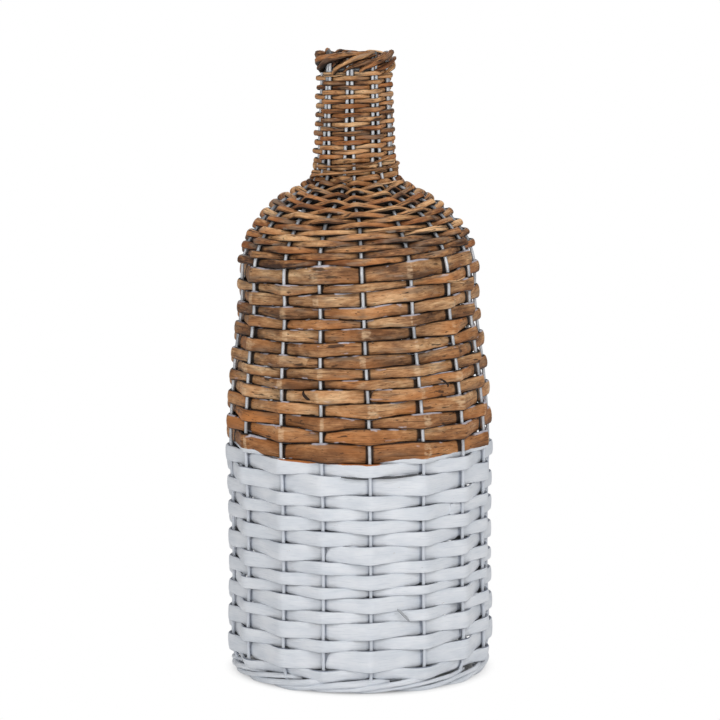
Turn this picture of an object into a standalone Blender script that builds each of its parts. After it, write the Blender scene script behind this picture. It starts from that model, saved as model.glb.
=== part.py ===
# Wicker bottle vase: bent wire stakes, split willow strips woven round the body,
# thin willow rods woven round the shoulder and neck, and a twisted border at the mouth and foot.
# Metres, +Z up. The origin is at the centre of the foot, on the surface the vase stands on.
# An angle of zero is the front, at -Y, and angles grow towards +X.

import math

import bpy
import bmesh
from mathutils import Vector

# Driving sizes of the silhouette, all measured to the centre of the stake wires
BODY_HEIGHT = 0.405
SHOULDER_RISE = 0.083
NECK_LENGTH = 0.112
BODY_RADIUS = 0.1250
NECK_RADIUS = 0.0315

# Materials' own sizes
WIRE_DIAMETER = 0.0032
HOOP_WIRE_DIAMETER = 0.0030
STRIP_THICKNESS = 0.0030
ROD_THICKNESS = 0.0038
BASE_STRIP_THICKNESS = 0.0022
FOOT_ROD_DIAMETER = 0.0060
RIM_ROD_DIAMETER = 0.0078
SEAT_GAP = 0.0003
COURSE_GAP = 0.0007
END_GAP = 0.0012

# Heights where one kind of weaving ends and the next starts
WEAVE_START = 0.0135
PAINT_HEIGHT = 0.2215
NECK_WEAVE_START = 0.0055

# Stakes
STAKE_COUNT = 17
STAKE_ANGLES = (156.4, 177.3, 198.2, 219.1, 240.0, 260.9, 281.8, 301.5, 324.7,
                344.1, 364.9, 389.1, 412.1, 432.8, 453.7, 474.6, 495.5)
GROUP_ANGLES = (150.0, 190.0, 230.0, 270.0, 307.0, 350.6, 395.0, 436.0, 473.0)
STAKE_TURN_SHARES = ((0.45, 0.0), (0.67, 0.5), (0.90, 2.3), (0.97, 3.0), (1.04, 3.5))
PAIR_SPREAD_LOW = 0.0092
PAIR_GAP = 0.0005
MERGE_START_SHARE = 0.42
MERGE_END_SHARE = 0.90

# The stake line, as shares of the body, the shoulder and the neck
BODY_SHARES = ((0.004, 0.925), (0.025, 0.955), (0.052, 0.992), (0.100, 1.0), (0.22, 0.990),
               (0.40, 0.990), (0.58, 1.0), (0.74, 0.960), (0.88, 0.900), (1.0, 0.875))
SHOULDER_SHARES = ((0.16, 0.940), (0.30, 0.843), (0.44, 0.722), (0.58, 0.548), (0.715, 0.285),
                   (0.85, 0.098), (0.94, 0.064), (1.0, 0.052))
NECK_SHARES = ((0.15, 1.090), (0.35, 1.065), (0.64, 1.020), (0.86, 0.990), (1.0, 0.990))
LEAN = 0.0045
LEAN_SHARES = ((0.0, 0.0), (0.33, 0.2), (0.53, 0.45), (0.70, 0.40), (0.82, 1.0), (1.0, 1.0))

# Courses: how many turns each kind of weaving makes, and how wide each turn is against the mean
STRIP_COURSE_SHARES = (0.89, 1.37, 0.85, 1.26, 0.75, 1.11, 0.67, 0.93, 0.86, 1.24, 0.91, 1.01,
                       0.86, 0.97, 1.37, 0.96)
UPPER_COURSE_SHARES = (1.42, 1.09, 0.98, 1.02, 1.03, 0.83, 0.85, 0.95, 0.97, 0.99, 0.81, 0.90,
                       1.06, 0.66, 1.38)
SHOULDER_COURSES = 20
NECK_COURSES = 20
SPIRAL_START_SHARE = 0.59
TILT_SHARES = ((0.0, 0.0), (0.16, 0.0), (0.25, -0.030), (0.36, -0.027), (0.42, -0.020),
               (0.50, 0.018), (0.57, 0.025), (0.65, 0.050), (0.80, 0.040), (1.0, 0.015))

# Where each weaver starts and the next takes over, counted in stakes passed along the spiral
LOWER_STRIP_JOINTS = (-2, 26, 52, 80, 108, 134, 162, 190, 216, 244, 272)
UPPER_STRIP_JOINTS = (272, 298, 324, 350, 374, 400, 426, 450, 476, 502, 526)
SHOULDER_ROD_JOINTS = (526, 562, 594, 630, 662, 698, 730, 764, 798, 832, 866)
NECK_ROD_JOINTS = (866, 905, 935, 973, 1003, 1041, 1071, 1109, 1139, 1177, 1204)
JOINT_PAST_STAKE_SHARE = 0.22

# Shape of a split strip and of a rod across their width
STRIP_EDGE_SHARE = 0.13
ROD_FLAT_SHARE = 0.16
ROD_SHOULDER_SHARE = 0.45

# Twisted borders
FOOT_STEPS_PER_STAKE = 4
RIM_STEPS_PER_GROUP = 6
BORDER_CLEARANCE = 0.0005
BORDER_HOLD_SHARE = 0.7
FOOT_FLAT = 0.0005

# Woven floor
FLOOR_SPOKES = 9
FLOOR_HUB_RADIUS = 0.013
FLOOR_HUB_THICKNESS = 0.0030
FLOOR_TURNS = 6
FLOOR_POINTS_PER_SPOKE = 2
FLOOR_SIDE_CLEARANCE = 0.0006

# Drawing
RING_STEP_DEGREES = 12
SPOKE_SIDES = 6
TUBE_SIDES_RESOLUTION = 1
NORMAL_REACH = 0.006
CUT_OVERRUN = 0.010
SMOOTH_ANGLE = math.radians(40)

COLLECTION_NAME = "wicker_bottle_vase"
CUTTER_COLLECTION_NAME = "cutters"

TOTAL_HEIGHT = BODY_HEIGHT + SHOULDER_RISE + NECK_LENGTH
SHOULDER_RADIUS = BODY_RADIUS * BODY_SHARES[-1][1]
WIRE_RADIUS = WIRE_DIAMETER / 2
LOWER_COURSES = len(STRIP_COURSE_SHARES)
STRIP_COURSES = LOWER_COURSES + len(UPPER_COURSE_SHARES)
NECK_FIRST_COURSE = STRIP_COURSES + SHOULDER_COURSES
RIM_BOTTOM = TOTAL_HEIGHT - 2 * (RIM_ROD_DIAMETER + BORDER_CLEARANCE)
RIM_HOOP_HEIGHT = RIM_BOTTOM - SEAT_GAP - HOOP_WIRE_DIAMETER / 2
NECK_WEAVE_END = RIM_HOOP_HEIGHT - HOOP_WIRE_DIAMETER / 2 - SEAT_GAP


def clear_scene():
    for item in list(bpy.data.objects):
        bpy.data.objects.remove(item, do_unlink=True)


def new_collection(name):
    collection = bpy.data.collections.new(name)
    bpy.context.scene.collection.children.link(collection)
    return collection


def principled(name, color, roughness, metallic=0.0):
    material = bpy.data.materials.new(name)
    material.use_nodes = True
    shader = material.node_tree.nodes["Principled BSDF"]
    shader.inputs["Base Color"].default_value = (*color, 1.0)
    shader.inputs["Roughness"].default_value = roughness
    shader.inputs["Metallic"].default_value = metallic
    material.diffuse_color = (*color, 1.0)
    return material


def between(table, x):
    """The value at x of a table of (x, value) rows, straight between rows and flat past its ends."""
    if x <= table[0][0]:
        return table[0][1]
    for (x0, v0), (x1, v1) in zip(table, table[1:]):
        if x <= x1:
            return v0 + (v1 - v0) * (x - x0) / (x1 - x0)
    return table[-1][1]


def smooth_step(share):
    share = min(1.0, max(0.0, share))
    return share * share * (3 - 2 * share)


def stake_line():
    """(radius, height) of the stake line from the foot to the mouth."""
    line = [(BODY_RADIUS * r, BODY_HEIGHT * z) for z, r in BODY_SHARES]
    drop = SHOULDER_RADIUS - NECK_RADIUS
    line += [(NECK_RADIUS + drop * r, BODY_HEIGHT + SHOULDER_RISE * z) for z, r in SHOULDER_SHARES]
    neck_base = BODY_HEIGHT + SHOULDER_RISE
    line += [(NECK_RADIUS * r, neck_base + NECK_LENGTH * z) for z, r in NECK_SHARES]
    return line


LINE = stake_line()
LINE_LENGTHS = [0.0]
for (r0, z0), (r1, z1) in zip(LINE, LINE[1:]):
    LINE_LENGTHS.append(LINE_LENGTHS[-1] + math.hypot(r1 - r0, z1 - z0))
LINE_BY_LENGTH = [(s, Vector((r, z))) for s, (r, z) in zip(LINE_LENGTHS, LINE)]
LENGTH_BY_HEIGHT = [(z, s) for s, (r, z) in zip(LINE_LENGTHS, LINE)]


def line_radius(height):
    """The radius of the stake line at a height."""
    return between(LINE_BY_LENGTH, between(LENGTH_BY_HEIGHT, height)).x


def line_normal(length):
    """The outward direction (radial, up) of the wall at a length along the stake line."""
    along = between(LINE_BY_LENGTH, length + NORMAL_REACH) - between(LINE_BY_LENGTH, length - NORMAL_REACH)
    along.normalize()
    return Vector((along.y, -along.x))


def group_of(stake):
    """The neck group of a stake: the first stands alone and the others go in pairs."""
    return (stake + 1) // 2


def stake_spot(stake, radius, height):
    """A stake's point at a height: evenly set round the body, drawn together in pairs up the neck."""
    rise = (height - BODY_HEIGHT) / SHOULDER_RISE
    merge = smooth_step((rise - MERGE_START_SHARE) / (MERGE_END_SHARE - MERGE_START_SHARE))
    body_angle = math.radians(STAKE_ANGLES[stake] - between(STAKE_TURN_SHARES, height / BODY_HEIGHT))
    neck_angle = math.radians(GROUP_ANGLES[group_of(stake)])
    if stake:
        up_neck = (height - BODY_HEIGHT - SHOULDER_RISE) / NECK_LENGTH
        tight = WIRE_DIAMETER + PAIR_GAP
        spread = tight + (PAIR_SPREAD_LOW - tight) * (1 - min(1.0, max(0.0, up_neck))) ** 2
        side = 1 if stake % 2 == 0 else -1
        neck_angle += side * math.asin(spread / 2 / radius)
    angle = body_angle + (neck_angle - body_angle) * merge
    return Vector((radius * math.sin(angle), -radius * math.cos(angle), height))


STAKE_PATHS = [[stake_spot(k, r, z) for r, z in LINE] for k in range(STAKE_COUNT)]


def stake_point(stake, length):
    """A stake's point at a length along the stake line, on the straight runs between its bends."""
    path = STAKE_PATHS[stake]
    if length <= 0:
        return path[0] + (path[0] - path[1]) * (-length / LINE_LENGTHS[1])
    for i, (s0, s1) in enumerate(zip(LINE_LENGTHS, LINE_LENGTHS[1:])):
        if length <= s1 or i == len(path) - 2:
            return path[i].lerp(path[i + 1], (length - s0) / (s1 - s0))
    return path[-1]


def course_edges():
    """(spiral turns, length along the stake line) of the edge between one turn and the next."""
    paint = between(LENGTH_BY_HEIGHT, PAINT_HEIGHT)
    start = between(LENGTH_BY_HEIGHT, WEAVE_START)
    shoulder = between(LENGTH_BY_HEIGHT, BODY_HEIGHT)
    neck = between(LENGTH_BY_HEIGHT, BODY_HEIGHT + SHOULDER_RISE + NECK_WEAVE_START)
    mouth = between(LENGTH_BY_HEIGHT, NECK_WEAVE_END)
    edges = [(SPIRAL_START_SHARE, start)]
    for low, high, shares in (
        (start, paint, STRIP_COURSE_SHARES),
        (paint, shoulder, UPPER_COURSE_SHARES),
        (shoulder, neck, (1.0,) * SHOULDER_COURSES),
        (neck, mouth, (1.0,) * NECK_COURSES),
    ):
        for share in shares:
            turn, length = edges[-1]
            edges.append((turn + 1, length + (high - low) * share / sum(shares)))
    return edges


COURSE_EDGES = course_edges()


def edge_length(turns, angle):
    """The length along the stake line of the edge under a turn, with the courses' slope across the front."""
    level = between(COURSE_EDGES, turns)
    spot = between(LINE_BY_LENGTH, level)
    return level + between(TILT_SHARES, spot.y / TOTAL_HEIGHT) * spot.x * math.sin(angle)


def is_outside(passed):
    """Whether the weaver lies outside the stake that it meets after passing this many."""
    turn, stake = divmod(passed, STAKE_COUNT)
    if turn < NECK_FIRST_COURSE:
        return passed % 2 == 1
    groups = group_of(STAKE_COUNT - 1) + 1
    return (groups * (turn - NECK_FIRST_COURSE) + group_of(stake)) % 2 == 1


def wall_point(stake, length, offset):
    """A point beside a stake, offset outwards from its centre."""
    spot = stake_point(stake, length)
    angle = math.atan2(spot.x, -spot.y)
    out, up = line_normal(length)
    return spot + Vector((out * math.sin(angle), -out * math.cos(angle), up)) * offset


def strip_section(stake, low, high, inner, thickness):
    """A split strip: flat inside, with its outer edges taken off."""
    edge = (high - low) * STRIP_EDGE_SHARE
    outer = inner + thickness
    rows = ((low, inner), (low + edge, outer), (high - edge, outer), (high, inner))
    return [wall_point(stake, length, offset) for length, offset in rows]


def rod_section(stake, low, high, inner, thickness):
    """A thin rod: flat where it is pressed on the wire, and round outside."""
    flat = (high - low) * ROD_FLAT_SHARE
    shoulder = inner + thickness * ROD_SHOULDER_SHARE
    rows = ((low + flat, inner), (low, shoulder), ((low + high) / 2, inner + thickness),
            (high, shoulder), (high - flat, inner))
    return [wall_point(stake, length, offset) for length, offset in rows]


def stake_bow(low, high):
    """How far the stakes' bends stand outwards and inwards of the straight line from low to high."""
    start = between(LINE_BY_LENGTH, low)
    out = line_normal((low + high) / 2)
    stands = [(Vector(spot) - start).dot(out) for s, spot in zip(LINE_LENGTHS, LINE) if low < s < high]
    stands += [0.0, (between(LINE_BY_LENGTH, high) - start).dot(out)]
    return max(stands), -min(stands)


def wire_clearance(passed, length, thickness):
    """How far from a wire's centre the weaver's face lies, so that it clears the wire as it slopes away."""
    spot = stake_point(passed % STAKE_COUNT, length)
    flat_out = Vector((spot.x, spot.y, 0.0)).normalized()
    outside = is_outside(passed)
    reach = WIRE_RADIUS + SEAT_GAP
    steepest = 0.0
    for neighbour in (passed - 1, passed + 1):
        away = stake_point(neighbour % STAKE_COUNT, length) - spot
        away.z = 0.0
        drop = -away.dot(flat_out) if outside else away.dot(flat_out)
        if is_outside(neighbour) != outside:
            drop += 2 * reach + thickness
        steepest = max(steepest, drop / (away - flat_out * away.dot(flat_out)).length)
    return reach * math.hypot(1.0, steepest)


def crossing_section(passed, thickness, section):
    """The weaver's section where it crosses a stake."""
    stake = passed % STAKE_COUNT
    turns = passed / STAKE_COUNT
    level = between(COURSE_EDGES, turns)
    spot = stake_point(stake, level)
    angle = math.atan2(spot.x, -spot.y)
    low = edge_length(turns, angle) + COURSE_GAP / 2
    high = edge_length(turns + 1, angle) - COURSE_GAP / 2
    clear = wire_clearance(passed, level, thickness)
    stands_out, stands_in = stake_bow(low, high)
    inner = clear + stands_out if is_outside(passed) else -clear - stands_in - thickness
    return section(stake, low, high, inner, thickness)


def section_at(passed, thickness, section):
    """The weaver's section at any place along the spiral, straight between two stakes."""
    whole = math.floor(passed)
    share = passed - whole
    first = crossing_section(whole, thickness, section)
    if not share:
        return first
    second = crossing_section(whole + 1, thickness, section)
    return [a.lerp(b, share) for a, b in zip(first, second)]


def loft(name, sections, material, collection):
    """One closed solid through a row of sections that have the same number of points."""
    mesh = bmesh.new()
    rings = [[mesh.verts.new(leaned(point)) for point in section] for section in sections]
    for ring, following in zip(rings, rings[1:]):
        for i in range(len(ring)):
            j = (i + 1) % len(ring)
            mesh.faces.new((ring[i], ring[j], following[j], following[i]))
    mesh.faces.new(rings[0])
    mesh.faces.new(rings[-1])
    bmesh.ops.recalc_face_normals(mesh, faces=mesh.faces)
    data = bpy.data.meshes.new(name)
    mesh.to_mesh(data)
    mesh.free()
    return add_object(name, data, material, collection)


def leaned(point):
    """A point moved aside with the hand-made vase's slight lean to the left."""
    return point - Vector((LEAN * between(LEAN_SHARES, point.z / TOTAL_HEIGHT), 0.0, 0.0))


def add_object(name, data, material, collection):
    item = bpy.data.objects.new(name, data)
    data.materials.append(material)
    collection.objects.link(item)
    return item


def add_cutter(name, mesh, collection):
    """A helper shape that other pieces are cut by or joined to, which isn't a piece itself."""
    data = bpy.data.meshes.new(name)
    mesh.to_mesh(data)
    mesh.free()
    item = bpy.data.objects.new(name, data)
    item.hide_render = True
    item.display_type = "WIRE"
    collection.objects.link(item)
    return item


def ring_points(radius, height):
    """Points of a level wire ring."""
    angles = [math.radians(degrees) for degrees in range(0, 360, RING_STEP_DEGREES)]
    return [Vector((radius * math.sin(a), -radius * math.cos(a), height)) for a in angles]


def tube(name, points, radius, material, collection, closed=False):
    """A wire or rod through a list of points, as a curve with a round bevel."""
    curve = bpy.data.curves.new(name, "CURVE")
    curve.dimensions = "3D"
    curve.bevel_depth = radius
    curve.bevel_resolution = TUBE_SIDES_RESOLUTION
    curve.use_fill_caps = True
    spline = curve.splines.new("POLY")
    spline.points.add(len(points) - 1)
    for spot, point in zip(spline.points, points):
        spot.co = (*leaned(point), 1.0)
    spline.use_cyclic_u = closed
    spline.use_smooth = True
    return add_object(name, curve, material, collection)


def as_mesh(item):
    """A curve object made a mesh object with welded caps, so that it can be cut."""
    graph = bpy.context.evaluated_depsgraph_get()
    data = bpy.data.meshes.new_from_object(item.evaluated_get(graph))
    mesh = bmesh.new()
    mesh.from_mesh(data)
    bmesh.ops.remove_doubles(mesh, verts=mesh.verts, dist=SEAT_GAP / 30)
    mesh.to_mesh(data)
    mesh.free()
    name, matrix, collection = item.name, item.matrix_world.copy(), item.users_collection[0]
    bpy.data.objects.remove(item)
    made = bpy.data.objects.new(name, data)
    made.matrix_world = matrix
    collection.objects.link(made)
    return made


def make_weavers(name, joints, thickness, section, material, collection):
    """A run of weavers along the spiral, each taking over just past a stake that hides the joint."""
    for number, (first, last) in enumerate(zip(joints, joints[1:]), 1):
        spacing = (stake_point(1, 0.0) - stake_point(0, 0.0)).length
        half_gap = END_GAP / 2 / spacing
        start = first + JOINT_PAST_STAKE_SHARE + half_gap
        end = last + JOINT_PAST_STAKE_SHARE - half_gap
        stops = [start, *range(first + 1, last + 1), end]
        sections = [section_at(stop, thickness, section) for stop in stops]
        loft(f"{name}_{number:02d}", sections, material, collection)


def make_stakes(material, collection):
    """Eight hairpins, each a long wire bent over at the mouth, and one single stake at the back."""
    top = TOTAL_HEIGHT - WIRE_RADIUS
    for group in range(group_of(STAKE_COUNT - 1) + 1):
        stakes = [k for k in range(STAKE_COUNT) if group_of(k) == group]
        legs = []
        for stake in stakes:
            leg = list(STAKE_PATHS[stake])
            bend = (WIRE_DIAMETER + PAIR_GAP) / 2 if len(stakes) == 2 else 0.0
            leg[-1] = leg[-2].lerp(leg[-1], (top - bend - leg[-2].z) / (leg[-1].z - leg[-2].z))
            legs.append(leg)
        if len(legs) == 1:
            tube("stake_single", legs[0], WIRE_RADIUS, material, collection)
            continue
        up, down = legs
        middle = (up[-1] + down[-1]) / 2
        half = (down[-1] - up[-1]) / 2
        turn = []
        for degrees in (135, 90, 45):
            angle = math.radians(degrees)
            turn.append(middle + half * math.cos(angle) + Vector((0, 0, half.length * math.sin(angle))))
        tube(f"stake_hairpin_{group}", up + turn + down[::-1], WIRE_RADIUS, material, collection)


def border_strand(centre, spots, phase, steps, out, rise):
    """A strand that winds round the stakes: outside one, over the gap, inside the next, and back."""
    points = []
    count = len(spots)
    for step in range(count * steps + 2):
        place, part = divmod(step, steps)
        share = part / steps
        a = spots[place % count]
        b = spots[(place + 1) % count]
        turn = b - a + (2 * math.pi if b < a else 0.0)
        angle = a + turn * share
        wind = phase + math.pi * (place + share)
        side = math.cos(wind)
        radius = centre[0] + out * math.copysign(abs(side) ** BORDER_HOLD_SHARE, side)
        height = centre[1] + rise * math.sin(wind)
        points.append(Vector((radius * math.sin(angle), -radius * math.cos(angle), height)))
    return points


def meet_in_step(points, gap):
    """The same route, ending halfway along its first and last steps, where the two strands meet."""
    first = points[0].lerp(points[1], 0.5)
    last = points[-2].lerp(points[-1], 0.5)
    first += (points[1] - first).normalized() * gap / 2
    last += (points[-2] - last).normalized() * gap / 2
    return [first, *points[1:-1], last]


def foot_routes():
    """The two twisted rods round the feet of the stakes."""
    radius = FOOT_ROD_DIAMETER / 2
    out = WIRE_RADIUS + BORDER_CLEARANCE + radius
    rise = radius + BORDER_CLEARANCE
    height = radius + rise - FOOT_FLAT
    centre = (line_radius(height), height)
    spots = [math.atan2(path[0].x, -path[0].y) % (2 * math.pi) for path in STAKE_PATHS]
    return [border_strand(centre, spots, phase, FOOT_STEPS_PER_STAKE, out, rise) for phase in (0.0, math.pi)]


def make_foot(material, collection, cutters):
    """Two rods twisted round the feet of the stakes, flattened where the vase stands on them."""
    reach = 2 * BODY_RADIUS + CUT_OVERRUN
    mesh = bmesh.new()
    bmesh.ops.create_cube(mesh, size=1.0)
    bmesh.ops.scale(mesh, vec=(reach, reach, CUT_OVERRUN), verts=mesh.verts)
    ground = add_cutter("ground_cut", mesh, cutters)
    ground.location.z = -CUT_OVERRUN / 2
    for number, route in enumerate(foot_routes(), 1):
        route = meet_in_step(route, END_GAP)
        strand = tube(f"foot_border_rod_{number}", route, FOOT_ROD_DIAMETER / 2, material, collection)
        strand = as_mesh(strand)
        cut = strand.modifiers.new("flat_foot", "BOOLEAN")
        cut.operation = "DIFFERENCE"
        cut.object = ground


def rim_centre():
    rise = RIM_ROD_DIAMETER / 2 + BORDER_CLEARANCE
    return (NECK_RADIUS * NECK_SHARES[-1][1], TOTAL_HEIGHT - rise - RIM_ROD_DIAMETER / 2)


def make_rim(rod_material, wire_material, collection):
    """Two thick rods twisted round the hairpins, over a wire hoop that keeps the mouth round."""
    radius = RIM_ROD_DIAMETER / 2
    out = (WIRE_RADIUS + BORDER_CLEARANCE + radius) / math.cos(math.pi / RIM_STEPS_PER_GROUP)
    rise = radius + BORDER_CLEARANCE
    spots = [math.radians(angle) for angle in GROUP_ANGLES]
    for number, phase in ((1, 0.0), (2, math.pi)):
        route = border_strand(rim_centre(), spots, phase, RIM_STEPS_PER_GROUP, out, rise)
        tube(f"rim_border_rod_{number}", meet_in_step(route, END_GAP), radius, rod_material, collection)
    hoop_radius = HOOP_WIRE_DIAMETER / 2
    ring = line_radius(RIM_HOOP_HEIGHT) - WIRE_RADIUS - SEAT_GAP - hoop_radius
    points = ring_points(ring, RIM_HOOP_HEIGHT)
    tube("rim_hoop", points, hoop_radius, wire_material, collection, closed=True)


def hoop_on_foot(ring):
    """The height at which a wire ring of this radius lies on the twisted foot rods."""
    reach = FOOT_ROD_DIAMETER / 2 + SEAT_GAP + HOOP_WIRE_DIAMETER / 2
    height = 0.0
    for route in foot_routes():
        for a, b in zip(route, route[1:]):
            for share in (0.0, 0.25, 0.5, 0.75):
                spot = a.lerp(b, share)
                aside = math.hypot(spot.x, spot.y) - ring
                if abs(aside) < reach:
                    height = max(height, spot.z + math.sqrt(reach * reach - aside * aside))
    return height


def make_floor(wire_material, strip_material, collection, cutters):
    """A wire ring laid on the foot rods, a star of spokes on the ring, and a strip woven round them."""
    hoop_radius = HOOP_WIRE_DIAMETER / 2
    ring = line_radius(FOOT_ROD_DIAMETER) - WIRE_RADIUS - BORDER_CLEARANCE - FOOT_ROD_DIAMETER
    hoop_height = hoop_on_foot(ring)
    tube("floor_hoop", ring_points(ring, hoop_height), hoop_radius, wire_material, collection, closed=True)
    clear = WIRE_RADIUS + SEAT_GAP
    level = hoop_height + hoop_radius + clear
    reach = line_radius(level) - clear - STRIP_THICKNESS - FLOOR_SIDE_CLEARANCE - COURSE_GAP
    star = bmesh.new()
    bmesh.ops.create_cone(star, cap_ends=True, segments=2 * FLOOR_SPOKES, radius1=FLOOR_HUB_RADIUS,
                          radius2=FLOOR_HUB_RADIUS, depth=FLOOR_HUB_THICKNESS)
    hub_data = bpy.data.meshes.new("floor_star")
    star.to_mesh(hub_data)
    star.free()
    hub = add_object("floor_star", hub_data, wire_material, collection)
    hub.location.z = level
    for spoke in range(FLOOR_SPOKES):
        arm = bmesh.new()
        bmesh.ops.create_cone(arm, cap_ends=True, segments=SPOKE_SIDES, radius1=WIRE_RADIUS,
                              radius2=WIRE_RADIUS, depth=reach - FLOOR_HUB_RADIUS / 2)
        part = add_cutter(f"spoke_{spoke}", arm, cutters)
        angle = 2 * math.pi * spoke / FLOOR_SPOKES
        middle = (reach + FLOOR_HUB_RADIUS / 2) / 2
        part.location = (middle * math.sin(angle), -middle * math.cos(angle), level)
        part.rotation_euler = (math.pi / 2, 0.0, angle)
        join = hub.modifiers.new(f"spoke_{spoke}", "BOOLEAN")
        join.operation = "UNION"
        join.object = part
    start = FLOOR_HUB_RADIUS + COURSE_GAP
    edge = ring - hoop_radius - FLOOR_SIDE_CLEARANCE
    pitch = (edge - start) / (FLOOR_TURNS + 1)
    per_turn = FLOOR_SPOKES * FLOOR_POINTS_PER_SPOKE
    sections = []
    for step in range(FLOOR_TURNS * per_turn + 1):
        turn = step / per_turn
        angle = 2 * math.pi * turn
        passed = step / FLOOR_POINTS_PER_SPOKE
        swing = (clear + BASE_STRIP_THICKNESS / 2) * weave_wave(passed)
        inner = start + pitch * turn + COURSE_GAP / 2
        outer = start + pitch * (turn + 1) - COURSE_GAP / 2
        low = level + swing - BASE_STRIP_THICKNESS / 2
        high = level + swing + BASE_STRIP_THICKNESS / 2
        corners = ((inner, low), (outer, low), (outer, high), (inner, high))
        sections.append([Vector((r * math.sin(angle), -r * math.cos(angle), z)) for r, z in corners])
    loft("floor_strip", sections, strip_material, collection)


def weave_wave(passed):
    """1 over one spoke and -1 under the next, straight between."""
    share = passed % 2
    return 1 - 2 * share if share <= 1 else 2 * share - 3


def smooth_round_pieces(collection):
    for item in collection.objects:
        if item.type == "MESH":
            item.data.shade_smooth()
            item.data.set_sharp_from_angle(angle=SMOOTH_ANGLE)


def main():
    clear_scene()
    vase = new_collection(COLLECTION_NAME)
    cutters = new_collection(CUTTER_COLLECTION_NAME)
    zinc = principled("galvanised_wire", (0.62, 0.64, 0.66), 0.35, 1.0)
    willow = principled("natural_willow", (0.40, 0.22, 0.10), 0.65)
    dark_willow = principled("rod_willow", (0.34, 0.19, 0.09), 0.70)
    white_paint = principled("white_painted_willow", (0.80, 0.82, 0.84), 0.55)
    make_stakes(zinc, vase)
    make_weavers("white_strip", LOWER_STRIP_JOINTS, STRIP_THICKNESS, strip_section, white_paint, vase)
    make_weavers("brown_strip", UPPER_STRIP_JOINTS, STRIP_THICKNESS, strip_section, willow, vase)
    make_weavers("shoulder_rod", SHOULDER_ROD_JOINTS, ROD_THICKNESS, rod_section, dark_willow, vase)
    make_weavers("neck_rod", NECK_ROD_JOINTS, ROD_THICKNESS, rod_section, dark_willow, vase)
    make_foot(white_paint, vase, cutters)
    make_rim(dark_willow, zinc, vase)
    make_floor(zinc, willow, vase, cutters)
    smooth_round_pieces(vase)


main()
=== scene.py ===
# A wicker bottle vase: split willow and thin rods woven round bent wire stakes.
# Metres, +Z up. An angle of zero is the front, at -Y, and angles grow towards +X.
import math

import bmesh
import bpy
import numpy as np
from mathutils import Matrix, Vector


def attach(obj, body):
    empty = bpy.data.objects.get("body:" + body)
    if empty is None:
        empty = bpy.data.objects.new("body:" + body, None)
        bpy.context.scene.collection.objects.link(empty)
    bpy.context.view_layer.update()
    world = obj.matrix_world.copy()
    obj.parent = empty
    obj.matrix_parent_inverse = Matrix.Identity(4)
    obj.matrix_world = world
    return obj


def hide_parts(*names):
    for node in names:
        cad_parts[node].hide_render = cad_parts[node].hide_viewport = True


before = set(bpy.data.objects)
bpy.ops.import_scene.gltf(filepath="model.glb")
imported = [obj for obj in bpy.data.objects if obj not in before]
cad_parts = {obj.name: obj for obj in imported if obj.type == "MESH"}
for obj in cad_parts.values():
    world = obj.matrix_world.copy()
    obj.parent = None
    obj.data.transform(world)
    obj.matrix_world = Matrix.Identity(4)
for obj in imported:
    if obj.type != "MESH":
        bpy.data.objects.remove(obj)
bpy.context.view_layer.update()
print("frame loaded")

# the form that everything is woven on; the rows named Line are (share of the way up, value)
vase = {
    "bodyHeight": 0.405, "shoulderRise": 0.083, "neckLength": 0.112,
    "bodyRadius": 0.125, "neckRadius": 0.0315,
    "wire": 0.0032, "hoopWire": 0.003, "seat": 0.0003,
    "weaveStart": 0.0135, "paintHeight": 0.2215, "neckWeaveStart": 0.0055,
    "rimRod": 0.0078, "rimClearance": 0.0005,
    "lean": 0.0045,
    "pairSpread": 0.0092, "pairGap": 0.0005, "mergeStart": 0.42, "mergeEnd": 0.9,
    "spiralStart": 0.59,
    "stakes": (156.4, 177.3, 198.2, 219.1, 240, 260.9, 281.8, 301.5, 324.7,
               344.1, 364.9, 389.1, 412.1, 432.8, 453.7, 474.6, 495.5),
    "groups": (150, 190, 230, 270, 307, 350.6, 395, 436, 473),
    "turnLine": ((0.45, 0), (0.67, 0.5), (0.9, 2.3), (0.97, 3), (1.04, 3.5)),
    "bodyLine": ((0.004, 0.925), (0.025, 0.955), (0.052, 0.992), (0.1, 1), (0.22, 0.99),
                 (0.4, 0.99), (0.58, 1), (0.74, 0.96), (0.88, 0.9), (1, 0.875)),
    "shoulderLine": ((0.16, 0.94), (0.3, 0.843), (0.44, 0.722), (0.58, 0.548), (0.715, 0.285),
                     (0.85, 0.098), (0.94, 0.064), (1, 0.052)),
    "neckLine": ((0.15, 1.09), (0.35, 1.065), (0.64, 1.02), (0.86, 0.99), (1, 0.99)),
    "leanLine": ((0, 0), (0.33, 0.2), (0.53, 0.45), (0.7, 0.4), (0.82, 1), (1, 1)),
    "tiltLine": ((0, 0), (0.16, 0), (0.25, -0.03), (0.36, -0.027), (0.42, -0.02),
                 (0.5, 0.018), (0.57, 0.025), (0.65, 0.05), (0.8, 0.04), (1, 0.015)),
    "lowCourses": (0.89, 1.37, 0.85, 1.26, 0.75, 1.11, 0.67, 0.93, 0.86, 1.24, 0.91, 1.01,
                   0.86, 0.97, 1.37, 0.96),
    "highCourses": (1.42, 1.09, 0.98, 1.02, 1.03, 0.83, 0.85, 0.95, 0.97, 0.99, 0.81, 0.9,
                    1.06, 0.66, 1.38),
    "shoulderCourses": 20, "neckCourses": 20,
}
lineSteps = 2400
chanceCount = 2048

stakeCount = len(vase["stakes"])
groupCount = len(vase["groups"])
wireRadius = vase["wire"] / 2
neckBase = vase["bodyHeight"] + vase["shoulderRise"]
fullHeight = neckBase + vase["neckLength"]
rimBottom = fullHeight - 2 * (vase["rimRod"] + vase["rimClearance"])
rimHoopHeight = rimBottom - vase["seat"] - vase["hoopWire"] / 2
neckWeaveEnd = rimHoopHeight - vase["hoopWire"] / 2 - vase["seat"]
neckFirstCourse = len(vase["lowCourses"]) + len(vase["highCourses"]) + vase["shoulderCourses"]


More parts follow.
